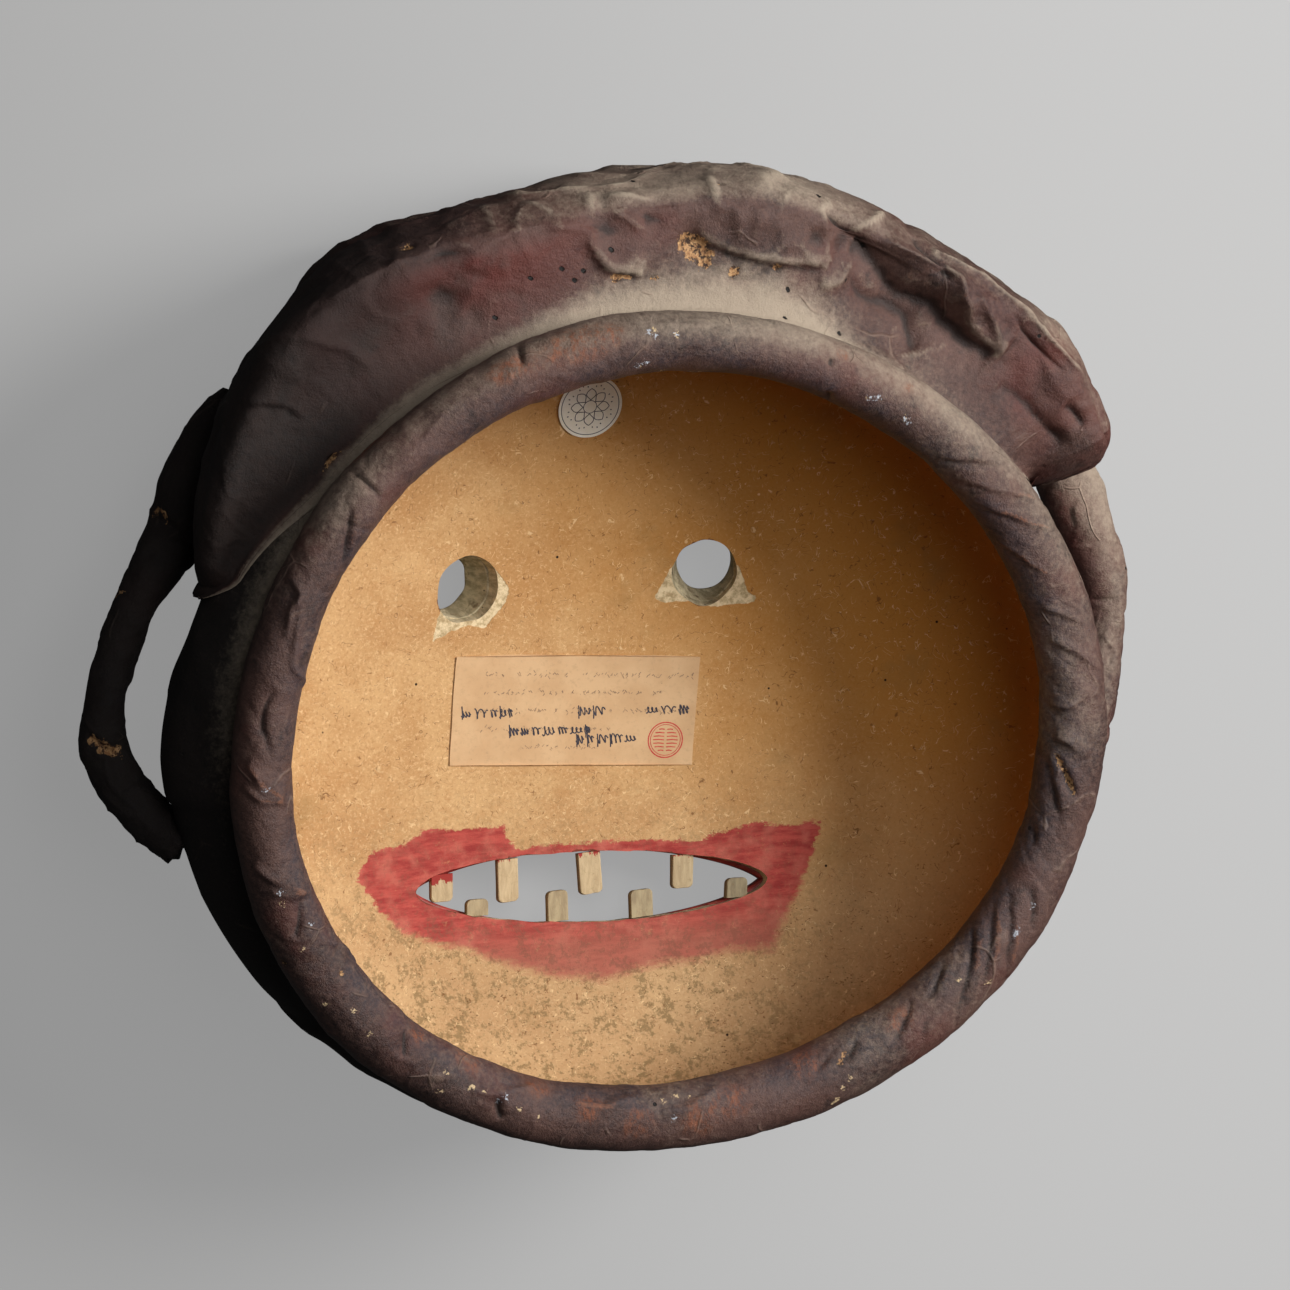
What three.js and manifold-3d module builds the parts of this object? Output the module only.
// A Korean theatre mask of papered shell and rolls, lying on its face with the bowl open upwards.
// Millimetres. +X is the wearer's right side, +Y the top of the head, +Z the open back.
// Inside the mask group, z = 0 is the middle of the rim roll, and "depth" counts from there to the face.
import * as THREE from "three";
import { mergeVertices } from "three/addons/utils/BufferGeometryUtils.js";
import Module from "manifold-3d";

// Driving dimensions
const RIM_HALF_WIDTH = 182.5;
const RIM_HALF_HEIGHT = 168.5;
const RIM_RADIUS = 14.5;
const FRONT_DEPTH = 150; // the flat spots on the nose and the head roll, which the mask lies on
const GAP = 0.3; // between pieces that touch

const BELLY_DEPTH = 48; // where the shell is widest
const BELLY_HALF_WIDTH = 205;
const WALL = 8;
const FACE_DEPTH = 117;
const DOME_POWER = 2.2;
const NECK_REACH = 78; // half depth of the ellipse between the belly and the shell's mouth edge
const MOUTH_EDGE_DEPTH = RIM_RADIUS + GAP;
const CHEEK_SWELL = 6;
const CHEEK_SPREAD = 60;

const EYE_LEFT = { x: -58.8, y: 47.4 };
const EYE_RIGHT = { x: 51.7, y: 46.8 };
const EYE_RADIUS_INSIDE = 15;
const EYE_RADIUS_OUTSIDE = 13;
const EYE_LEAN_OUT = Math.tan(THREE.MathUtils.degToRad(19));
const EYE_LEAN_UP = 0.04;
const EYE_RING_WIDTH = 20;
const EYE_RING_HEIGHT = 14;

const MOUTH = { x: -3.7, y: -90.9, slope: -0.057 };
const MOUTH_HALF_LENGTH = 82.5;
const MOUTH_RISE = 15.5;
const MOUTH_DROP = 17;
const MOUTH_LEAN = { x: 0, y: -0.24 };
const MOUTH_POWER = 1.1;
const LIP = { middleWidth: 23, cornerWidth: 15, height: 14 };
const NOSE = { top: 62, bottom: -52, bridge: 13, wing: 41, bridgeRise: 9, rise: 33.5 };
const BROW = { x: 67, y: 43, reach: 59, width: 28, height: 18, innerTurn: 146, outerTurn: 24 };
const FACE_MIDDLE = -3.5; // halfway between the eyes, which aren't quite level with the rim's middle

const TOOTH_WIDTH = 10.6;
const TOOTH_THICKNESS = 4;
const UPPER_TEETH = [
  { x: -73, tip: -92.1 },
  { x: -41.4, tip: -95.4 },
  { x: -2.9, tip: -95.4 },
  { x: 41.3, tip: -96.9 },
];
const LOWER_TEETH = [
  { x: -57.4, tip: -92.3 },
  { x: -19.2, tip: -92 },
  { x: 20.3, tip: -95.3 },
  { x: 64.7, tip: -94.1 },
];

const LABEL = { x: -8.9, y: -11.5, width: 114.5, height: 49.5, turn: -4.8, thickness: 1.5 };
const STICKER = { x: -6, y: 127, radius: 14.6, thickness: 1.9 };

const ROLL_MIDDLE = 231; // half width of the ellipse that the head roll's back lobe follows
const ROLL_DEPTH = 88;
const ROLL_HALF_DEPTH = 66;
const ROLL_HALF_THICKNESS = 30;
const ROLL_LEAN = 0.2; // the front of the roll leans in over the forehead
const ROLL_PIVOT = 28; // the back lobe's distance behind the roll's middle
const ROLL_ROOT = 1.5; // how much fuller the roll is on its inside, where the shell then cuts it
const ROLL_GROOVE = { share: 0.15, half: 13 }; // between the roll's back lobe and its front lobe
// Along the roll, in degrees round from +X
const ROLL_RIGHT_END = { angle: 24, rounding: 14 };
const ROLL_LEFT_END = { angle: 161, rounding: 12, closesFrom: 121, closer: 41, thinner: 0.28, shallower: 0.15 };
const ROLL_LEFT_LEAN = { from: 112, to: 135, more: 0.3 };
const ROLL_DENT = { angle: 104, spread: 8, depth: 6 };
const ROLL_BULGE = { angle: 41, spread: 9, height: 5 };
const ROLL_WAVE = { crest: 70, times: 6, height: 2 };

// Ears: how far out, how far up, depth and tube radius, from the head roll to the shell
const LEFT_EAR = [
  [164, 142, 104, 7],
  [173, 124, 102, 13],
  [182, 104, 98, 15.5],
  [191, 84, 95, 14.5],
  [200, 73, 90, 13],
  [211, 58, 86, 10.5],
  [220.5, 38, 82, 10],
  [227.6, 18, 80, 10.5],
  [229, 0, 78, 11],
  [223, -17.5, 74, 11.5],
  [213, -31, 68, 11.5],
  [200, -45, 60, 10.5],
];
const RIGHT_EAR = [
  [214, 104, 98, 14],
  [223, 84, 95, 13.5],
  [230, 66, 92, 12.5],
  [235, 46, 88, 11.5],
  [237, 27, 85, 11],
  [236, 6, 82, 11],
  [231, -21, 78, 11],
  [222, -40, 72, 11],
  [208, -53, 66, 11],
  [196, -60, 62, 10],
];

const COLOURS = {
  lacquer: 0x47302b,
  faceLacquer: 0x4a2f29,
  straw: 0xb98d58,
  lip: 0x9c3b32,
  tooth: 0xc9ab7c,
  label: 0xd2a878,
  sticker: 0xe4dccb,
  eyeRim: 0x8d7f6a,
};

// Derived dimensions
const ASPECT = RIM_HALF_HEIGHT / RIM_HALF_WIDTH;
const INNER = { belly: BELLY_HALF_WIDTH - WALL, face: FACE_DEPTH - WALL, swell: CHEEK_SWELL };
const OUTER = { belly: BELLY_HALF_WIDTH, face: FACE_DEPTH, swell: CHEEK_SWELL };
const ENVELOPE = { belly: BELLY_HALF_WIDTH + GAP, face: FACE_DEPTH + GAP, swell: CHEEK_SWELL };

const radians = THREE.MathUtils.degToRad;
const lerp = THREE.MathUtils.lerp;
const smooth = (x, from, to) => THREE.MathUtils.smoothstep(x, from, to);
const at = (x, y, depth) => new THREE.Vector3(x, y, -depth);
const steps = (count, last = count) => Array.from({ length: count }, (_, i) => i / last);

const wasm = await Module();
wasm.setup();

// Closed solids from rings of points

function signedVolume(points, triangles) {
  let volume = 0;
  for (let i = 0; i < triangles.length; i += 3) {
    const [a, b, c] = triangles.slice(i, i + 3).map((k) => points[k]);
    volume += a.dot(b.clone().cross(c)) / 6;
  }
  return volume;
}

// Joins rings of equal length into one closed solid: an open run gets a fan at each end.
function loft(rings, looped = false) {
  const sides = rings[0].length;
  const points = rings.flat();
  const triangles = [];
  const runs = looped ? rings.length : rings.length - 1;
  for (let r = 0; r < runs; r += 1) {
    const next = (r + 1) % rings.length;
    for (let s = 0; s < sides; s += 1) {
      const t = (s + 1) % sides;
      const [a, b] = [r * sides + s, r * sides + t];
      const [c, d] = [next * sides + s, next * sides + t];
      triangles.push(a, b, d, a, d, c);
    }
  }
  if (!looped) {
    fan(points, triangles, 0, sides, false);
    fan(points, triangles, (rings.length - 1) * sides, sides, true);
  }
  if (signedVolume(points, triangles) < 0) triangles.reverse();
  const flat = points.flatMap((p) => p.toArray());
  const geometry = new THREE.BufferGeometry();
  geometry.setAttribute("position", new THREE.Float32BufferAttribute(flat, 3));
  geometry.setIndex(triangles);
  return geometry;
}

function fan(points, triangles, start, sides, outwards) {
  const middle = new THREE.Vector3();
  for (let s = 0; s < sides; s += 1) middle.add(points[start + s]);
  points.push(middle.divideScalar(sides));
  for (let s = 0; s < sides; s += 1) {
    const [a, b] = [start + s, start + ((s + 1) % sides)];
    if (outwards) triangles.push(a, b, points.length - 1);
    else triangles.push(b, a, points.length - 1);
  }
}

function toSolid(geometry) {
  const merged = mergeVertices(geometry, 1e-4);
  return new wasm.Manifold(
    new wasm.Mesh({
      numProp: 3,
      vertProperties: merged.attributes.position.array,
      triVerts: new Uint32Array(merged.index.array),
    }),
  );
}

function fromSolid(solid) {
  const made = solid.getMesh();
  const geometry = new THREE.BufferGeometry();
  geometry.setAttribute("position", new THREE.BufferAttribute(made.vertProperties, 3));
  geometry.setIndex(new THREE.BufferAttribute(made.triVerts, 1));
  return geometry;
}

function clipped(geometry, limit) {
  return fromSolid(toSolid(geometry).intersect(toSolid(limit)));
}

function carved(geometry, ...cutters) {
  return fromSolid(cutters.reduce((solid, cutter) => solid.subtract(toSolid(cutter)), toSolid(geometry)));
}

// The shell's surfaces

function domeDepth(surface, x, y) {
  const reach = Math.hypot(x, y / ASPECT) / surface.belly;
  const rise = Math.max(0, 1 - reach ** DOME_POWER) ** (1 / DOME_POWER);
  return BELLY_DEPTH + (surface.face - BELLY_DEPTH) * rise;
}

// A point at an angle round the shell, and at a slope: 0 is the belly, 90 the middle of the face.
function shellPoint(surface, angle, slope) {
  const [across, along] = [Math.cos(radians(slope)), Math.sin(radians(slope))];
  const power = slope > 0 ? 2 / DOME_POWER : 1;
  const half = surface.belly * across ** power;
  const reach = slope > 0 ? surface.face - BELLY_DEPTH : NECK_REACH;
  const depth = BELLY_DEPTH + Math.sign(along) * reach * Math.abs(along) ** power;
  const y = half * ASPECT * Math.sin(angle);
  const swell = surface.swell * Math.exp(-((y / CHEEK_SPREAD) ** 2)) * across ** 3;
  return at((half + swell) * Math.cos(angle), y, depth);
}

const EDGE_SLOPE = -THREE.MathUtils.radToDeg(Math.asin((BELLY_DEPTH - MOUTH_EDGE_DEPTH) / NECK_REACH));
const SHELL_SLOPES = [86, 74, 62, 51, 41, 31, 22, 14, 6, -2, -13, EDGE_SLOPE];
const SHELL_SIDES = 44;

function shellRing(surface, slope) {
  return steps(SHELL_SIDES).map((t) => shellPoint(surface, 2 * Math.PI * t, slope));
}

function shellGeometry() {
  const outside = SHELL_SLOPES.map((slope) => shellRing(OUTER, slope));
  const inside = SHELL_SLOPES.map((slope) => shellRing(INNER, slope)).reverse();
  return carved(
    loft([...outside, ...inside]),
    eyeCutter(EYE_LEFT, -EYE_LEAN_OUT),
    eyeCutter(EYE_RIGHT, EYE_LEAN_OUT),
    mouthCutter(),
  );
}

// The filled outside of the shell, a gap larger, which rolls and ears are carved by.
function envelopeGeometry() {
  return loft([...SHELL_SLOPES, EDGE_SLOPE - 6].map((slope) => shellRing(ENVELOPE, slope)));
}

// The air in the bowl, a gap clear of the shell, which stuck paper is clipped to.
function bowlAirGeometry() {
  const air = { ...INNER, belly: INNER.belly - GAP, face: INNER.face - GAP };
  return loft(SHELL_SLOPES.map((slope) => shellRing(air, slope)));
}

// Eye holes, mouth and what is raised round them

// Slides a plan position with depth, along a hole that leans.
function leaning(x, y, depth, lean, level) {
  return at(x + lean.x * (depth - level), y + lean.y * (depth - level), depth);
}

function eyeCutter(eye, leanOut) {
  const level = domeDepth(INNER, eye.x, eye.y);
  const lean = { x: leanOut, y: EYE_LEAN_UP };
  const rings = [-20, 0, EYE_RING_HEIGHT + WALL, 45].map((beyond) => {
    const share = THREE.MathUtils.clamp(beyond / (EYE_RING_HEIGHT + WALL), 0, 1);
    const radius = lerp(EYE_RADIUS_INSIDE, EYE_RADIUS_OUTSIDE, share);
    return steps(20).map((t) => {
      const [c, s] = [Math.cos(2 * Math.PI * t), Math.sin(2 * Math.PI * t)];
      return leaning(eye.x + radius * c, eye.y + radius * s, level + beyond, lean, level);
    });
  });
  return loft(rings);
}

// The mouth's edge in plan, in the upper half for turn 0 to 180 degrees and the lower half after that.
function mouthEdge(turn, grow = 0) {
  const x = Math.cos(turn) * (MOUTH_HALF_LENGTH + grow);
  const s = Math.sin(turn);
  const tall = (s > 0 ? MOUTH_RISE : MOUTH_DROP) + grow;
  const y = Math.sign(s) * tall * Math.abs(s) ** MOUTH_POWER;
  return { x: MOUTH.x + x, y: MOUTH.y + y + MOUTH.slope * x };
}

const MOUTH_LEVEL = domeDepth(INNER, MOUTH.x, MOUTH.y);

function mouthCutter() {
  const rings = [MOUTH_LEVEL - 25, MOUTH_LEVEL + 60].map((depth) =>
    steps(36).map((t) => {
      const edge = mouthEdge(2 * Math.PI * t);
      return leaning(edge.x, edge.y, depth, MOUTH_LEAN, MOUTH_LEVEL);
    }),
  );
  return loft(rings);
}

// A point lifted off the shell's outside, over a plan position that slides with depth.
function raisedPoint(x, y, lift, lean = { x: 0, y: 0 }, level = 0) {
  let depth = domeDepth(OUTER, x, y) + lift;
  for (let i = 0; i < 4; i += 1) {
    const p = leaning(x, y, depth, lean, level);
    depth = domeDepth(OUTER, p.x, p.y) + lift;
  }
  return leaning(x, y, Math.min(depth, FRONT_DEPTH), lean, level);
}

const RIDGE_EDGE = 2.5; // how thick a ridge is at its sides

// A ridge laid on the face along a plan route: route(t) gives x, y and the ridge's half width and height.
function ridge({ route, count, looped = false, fullness = 2.4, lean, level }) {
  const across = 7;
  const rings = steps(count, looped ? count : count - 1).map((t) => {
    const here = route(t);
    const ahead = route(t + 1e-3);
    const along = new THREE.Vector2(ahead.x - here.x, ahead.y - here.y).normalize();
    const side = { x: -along.y, y: along.x };
    const top = steps(across, across - 1).map((u) => {
      const s = Math.cos(Math.PI * u);
      const rise = Math.max(0, 1 - Math.abs(s) ** fullness) ** (1 / fullness);
      const [x, y] = [here.x + side.x * here.half * s, here.y + side.y * here.half * s];
      return raisedPoint(x, y, GAP + RIDGE_EDGE + here.height * rise, lean, level);
    });
    const base = steps(3, 2).map((u) => {
      const s = lerp(-1, 1, u);
      const [x, y] = [here.x + side.x * here.half * s, here.y + side.y * here.half * s];
      return raisedPoint(x, y, GAP, lean, level);
    });
    return [...top, ...base];
  });
  return loft(rings, looped);
}

function eyeRingGeometry(eye, leanOut) {
  const half = EYE_RING_WIDTH / 2;
  const level = domeDepth(INNER, eye.x, eye.y);
  return ridge({
    count: 22,
    looped: true,
    lean: { x: leanOut, y: EYE_LEAN_UP },
    level,
    route: (t) => ({
      x: eye.x + (EYE_RADIUS_INSIDE + half) * Math.cos(2 * Math.PI * t),
      y: eye.y + (EYE_RADIUS_INSIDE + half) * Math.sin(2 * Math.PI * t),
      half,
      height: EYE_RING_HEIGHT - RIDGE_EDGE,
    }),
  });
}

function lipGeometry() {
  return ridge({
    count: 36,
    looped: true,
    lean: MOUTH_LEAN,
    level: MOUTH_LEVEL,
    route: (t) => {
      const turn = 2 * Math.PI * t;
      const half = lerp(LIP.cornerWidth, LIP.middleWidth, Math.abs(Math.sin(turn))) / 2;
      return { ...mouthEdge(turn, half + 0.6), half, height: LIP.height - RIDGE_EDGE };
    },
  });
}

function noseGeometry() {
  const tipClosing = (t, share) => 1 - share * smooth(t, 0.84, 1);
  return ridge({
    count: 14,
    fullness: 3,
    route: (t) => ({
      x: FACE_MIDDLE,
      y: lerp(NOSE.top, NOSE.bottom, t),
      half: lerp(NOSE.bridge, NOSE.wing, smooth(t, 0.15, 0.78)) * tipClosing(t, 0.5),
      height: lerp(NOSE.bridgeRise, NOSE.rise, smooth(t, 0, 0.6)) * tipClosing(t, 0.6),
    }),
  });
}

// A brow: an arc over an eye, thin at both ends.
function browGeometry(side) {
  return ridge({
    count: 13,
    route: (t) => {
      const turn = radians(lerp(BROW.innerTurn, BROW.outerTurn, t));
      const bulk = Math.sin(Math.PI * lerp(0.14, 0.88, t));
      return {
        x: FACE_MIDDLE + side * (BROW.x + BROW.reach * Math.cos(turn)),
        y: BROW.y + BROW.reach * Math.sin(turn),
        half: (BROW.width / 2) * bulk,
        height: BROW.height * bulk,
      };
    },
  });
}

// Teeth: flat slips set against the mouth's edge, in the middle of the shell's wall

function toothGeometry(tooth, upper) {
  const half = TOOTH_WIDTH / 2;
  const corner = 2.4;
  const away = upper ? 1 : -1;
  const rootAt = (x) => {
    const share = THREE.MathUtils.clamp((x - MOUTH.x) / MOUTH_HALF_LENGTH, -1, 1);
    const turn = Math.acos(share) * away;
    return mouthEdge(turn).y - away * GAP;
  };
  const outline = [
    ...steps(4, 3).map((t) => {
      const x = tooth.x + lerp(-half, half, t);
      return { x, y: rootAt(x) };
    }),
    { x: tooth.x + half, y: tooth.tip + away * corner },
    { x: tooth.x + half - 0.7, y: tooth.tip + away * 0.7 },
    { x: tooth.x + half - corner, y: tooth.tip },
    { x: tooth.x - half + corner, y: tooth.tip },
    { x: tooth.x - half + 0.7, y: tooth.tip + away * 0.7 },
    { x: tooth.x - half, y: tooth.tip + away * corner },
  ];
  const middle = domeDepth(INNER, tooth.x, rootAt(tooth.x)) + WALL / 2 - 0.5;
  const rings = [-TOOTH_THICKNESS / 2, TOOTH_THICKNESS / 2].map((beyond) =>
    outline.map((p) => leaning(p.x, p.y, middle + beyond, MOUTH_LEAN, MOUTH_LEVEL)),
  );
  return loft(rings);
}

// Paper stuck on the bowl's inside

const PAPER_ROOT = 3; // how far stuck paper starts inside the wall, before it is clipped

function innerPoint(x, y, lift) {
  return at(x, y, domeDepth(INNER, x, y) - lift);
}

function labelGeometry() {
  const turn = radians(LABEL.turn);
  const place = (u, v, lift) => {
    const [x, y] = [u * LABEL.width, v * LABEL.height];
    const px = LABEL.x + x * Math.cos(turn) - y * Math.sin(turn);
    const py = LABEL.y + x * Math.sin(turn) + y * Math.cos(turn);
    return innerPoint(px, py, lift);
  };
  const rings = steps(11, 10).map((t) => {
    const u = t - 0.5;
    const below = steps(5, 4).map((s) => place(u, s - 0.5, -PAPER_ROOT));
    const above = steps(5, 4).map((s) => place(u, 0.5 - s, LABEL.thickness));
    return [...below, ...above];
  });
  return clipped(loft(rings), bowlAirGeometry());
}

function stickerGeometry() {
  const middle = innerPoint(STICKER.x, STICKER.y, 0);
  const east = innerPoint(STICKER.x + 1, STICKER.y, 0).sub(middle).normalize();
  const north = innerPoint(STICKER.x, STICKER.y + 1, 0).sub(middle).normalize();
  const ring = (radius, lift) =>
    steps(20).map((t) => {
      const [c, s] = [Math.cos(2 * Math.PI * t) * radius, Math.sin(2 * Math.PI * t) * radius];
      const p = middle.clone().addScaledVector(east, c).addScaledVector(north, s);
      return innerPoint(p.x, p.y, lift);
    });
  const { radius, thickness } = STICKER;
  const below = [ring(radius / 2, -PAPER_ROOT), ring(radius, -PAPER_ROOT)];
  const above = [ring(radius, thickness), ring(radius / 2, thickness)];
  return clipped(loft([...below, ...above]), bowlAirGeometry());
}

// Rolls and ears

// How far the hand-made rim is off a true ellipse, in mm.
function rimWobble(angle) {
  return 2 * Math.cos(3 * angle + 1) - 1.7 * Math.sin(2 * angle);
}

function rimGeometry() {
  const back = new THREE.Vector3(0, 0, 1);
  const rings = steps(48).map((t) => {
    const angle = 2 * Math.PI * t;
    const out = new THREE.Vector3(Math.cos(angle) * ASPECT, Math.sin(angle), 0).normalize();
    const middle = at(RIM_HALF_WIDTH * Math.cos(angle), RIM_HALF_HEIGHT * Math.sin(angle), 0);
    middle.addScaledVector(out, rimWobble(angle));
    const radius = RIM_RADIUS + 1.6 * Math.cos(angle + 0.8);
    return steps(10).map((u) => {
      const turn = 2 * Math.PI * (u + 0.05);
      return middle
        .clone()
        .addScaledVector(out, radius * Math.cos(turn))
        .addScaledVector(back, RIM_RADIUS * Math.sin(turn));
    });
  });
  return loft(rings, true);
}

// The head roll's section at an angle in degrees: how far its middle is out, and its half sizes.
function rollSection(angle) {
  const blunt = (u) => (1 - (1 - THREE.MathUtils.clamp(u, 0.02, 1)) ** 2.6) ** (1 / 2.6);
  const fromRight = (angle - ROLL_RIGHT_END.angle) / ROLL_RIGHT_END.rounding;
  const fromLeft = (ROLL_LEFT_END.angle - angle) / ROLL_LEFT_END.rounding;
  const size = Math.min(blunt(fromRight), blunt(fromLeft));
  // The left end slims down and closes in on the shell.
  const { closesFrom, closer, thinner, shallower } = ROLL_LEFT_END;
  const slim = Math.max(0, angle - closesFrom) / (ROLL_LEFT_END.angle - closesFrom);
  const leansMore = smooth(angle, ROLL_LEFT_LEAN.from, ROLL_LEFT_LEAN.to);
  const dent = Math.exp(-(((angle - ROLL_DENT.angle) / ROLL_DENT.spread) ** 2));
  const bulge = Math.exp(-(((angle - ROLL_BULGE.angle) / ROLL_BULGE.spread) ** 2));
  const wave = Math.cos(radians(ROLL_WAVE.times * (angle - ROLL_WAVE.crest)));
  const uneven = ROLL_BULGE.height * bulge - ROLL_DENT.depth * dent + ROLL_WAVE.height * wave;
  return {
    middle: ROLL_MIDDLE - closer * slim + uneven,
    lean: ROLL_LEAN + ROLL_LEFT_LEAN.more * leansMore,
    halfThickness: ROLL_HALF_THICKNESS * size * (1 - thinner * slim),
    halfDepth: ROLL_HALF_DEPTH * Math.min(1, size * 1.1) * (1 - shallower * slim),
    root: lerp(ROLL_ROOT, 1, leansMore),
  };
}

// Turns round the roll's section: close together outside, where the groove is, and wide apart at the shell.
const ROLL_TURNS = [...steps(13, 12).map((t) => 180 * t), 200, 230, 270, 310, 340].map(radians);

function rollGeometry(extra = 0) {
  const rings = steps(36, 35).map((t) => {
    const angle = lerp(ROLL_RIGHT_END.angle, ROLL_LEFT_END.angle, t);
    const section = rollSection(angle);
    return ROLL_TURNS.map((turn) => {
      const back = Math.cos(turn) * (section.halfDepth + extra);
      const outside = Math.sin(turn) > 0;
      const groove = outside ? ROLL_GROOVE.share * Math.exp(-((back / ROLL_GROOVE.half) ** 2)) : 0;
      const full = outside ? 1 - groove : section.root;
      const out = Math.sin(turn) * (section.halfThickness * full + extra);
      const half = section.middle + out + section.lean * (back - ROLL_PIVOT);
      const depth = Math.min(ROLL_DEPTH - back, FRONT_DEPTH);
      const [c, s] = [Math.cos(radians(angle)), Math.sin(radians(angle))];
      return at(half * c, half * ASPECT * s, depth);
    });
  });
  return loft(rings);
}

// An ear: a paper tube that leaves the head roll, swings out and comes back to the shell.
function earGeometry(side, stations) {
  const path = new THREE.CatmullRomCurve3(stations.map(([out, up, depth]) => at(side * out, up, depth)));
  const count = 20;
  const rings = steps(count, count - 1).map((t) => {
    const along = path.getTangent(t);
    const station = t * (stations.length - 1);
    const from = Math.min(stations.length - 2, Math.floor(station));
    const radius = lerp(stations[from][3], stations[from + 1][3], station - from);
    const inward = new THREE.Vector3(0, 0, 1).cross(along).normalize();
    const back = along.clone().cross(inward);
    const middle = path.getPoint(t);
    return steps(9).map((u) => {
      const turn = 2 * Math.PI * u;
      return middle
        .clone()
        .addScaledVector(inward, radius * Math.cos(turn))
        .addScaledVector(back, radius * Math.sin(turn));
    });
  });
  return carved(loft(rings), envelopeGeometry(), rollGeometry(GAP));
}

// The mask's group

const mask = new THREE.Group();

function addPiece(name, geometry, colour, roughness) {
  geometry.computeVertexNormals();
  const material = new THREE.MeshStandardMaterial({ color: colour, roughness, metalness: 0 });
  const mesh = new THREE.Mesh(geometry, material);
  mesh.name = name;
  mask.add(mesh);
}

addPiece("shell", shellGeometry(), COLOURS.straw, 0.8);
addPiece("rim_roll", rimGeometry(), COLOURS.lacquer, 0.5);
addPiece("head_roll", carved(rollGeometry(), envelopeGeometry()), COLOURS.lacquer, 0.5);
addPiece("left_ear", earGeometry(-1, LEFT_EAR), COLOURS.lacquer, 0.55);
addPiece("right_ear", earGeometry(1, RIGHT_EAR), COLOURS.lacquer, 0.55);
addPiece("nose", noseGeometry(), COLOURS.faceLacquer, 0.5);
addPiece("left_brow", browGeometry(-1), COLOURS.faceLacquer, 0.5);
addPiece("right_brow", browGeometry(1), COLOURS.faceLacquer, 0.5);
addPiece("left_eye_ring", eyeRingGeometry(EYE_LEFT, -EYE_LEAN_OUT), COLOURS.eyeRim, 0.7);
addPiece("right_eye_ring", eyeRingGeometry(EYE_RIGHT, EYE_LEAN_OUT), COLOURS.eyeRim, 0.7);
addPiece("lips", lipGeometry(), COLOURS.lip, 0.6);
UPPER_TEETH.forEach((tooth, i) => {
  addPiece(`upper_tooth_${i + 1}`, toothGeometry(tooth, true), COLOURS.tooth, 0.7);
});
LOWER_TEETH.forEach((tooth, i) => {
  addPiece(`lower_tooth_${i + 1}`, toothGeometry(tooth, false), COLOURS.tooth, 0.7);
});
addPiece("paper_label", labelGeometry(), COLOURS.label, 0.8);
addPiece("round_sticker", stickerGeometry(), COLOURS.sticker, 0.7);

// The origin is under the middle of the mask's outline, on the surface that it lies on.
const box = new THREE.Box3().setFromObject(mask, true);
mask.position.set(-(box.min.x + box.max.x) / 2, -(box.min.y + box.max.y) / 2, -box.min.z);

const part = new THREE.Group();
part.add(mask);
export default part;
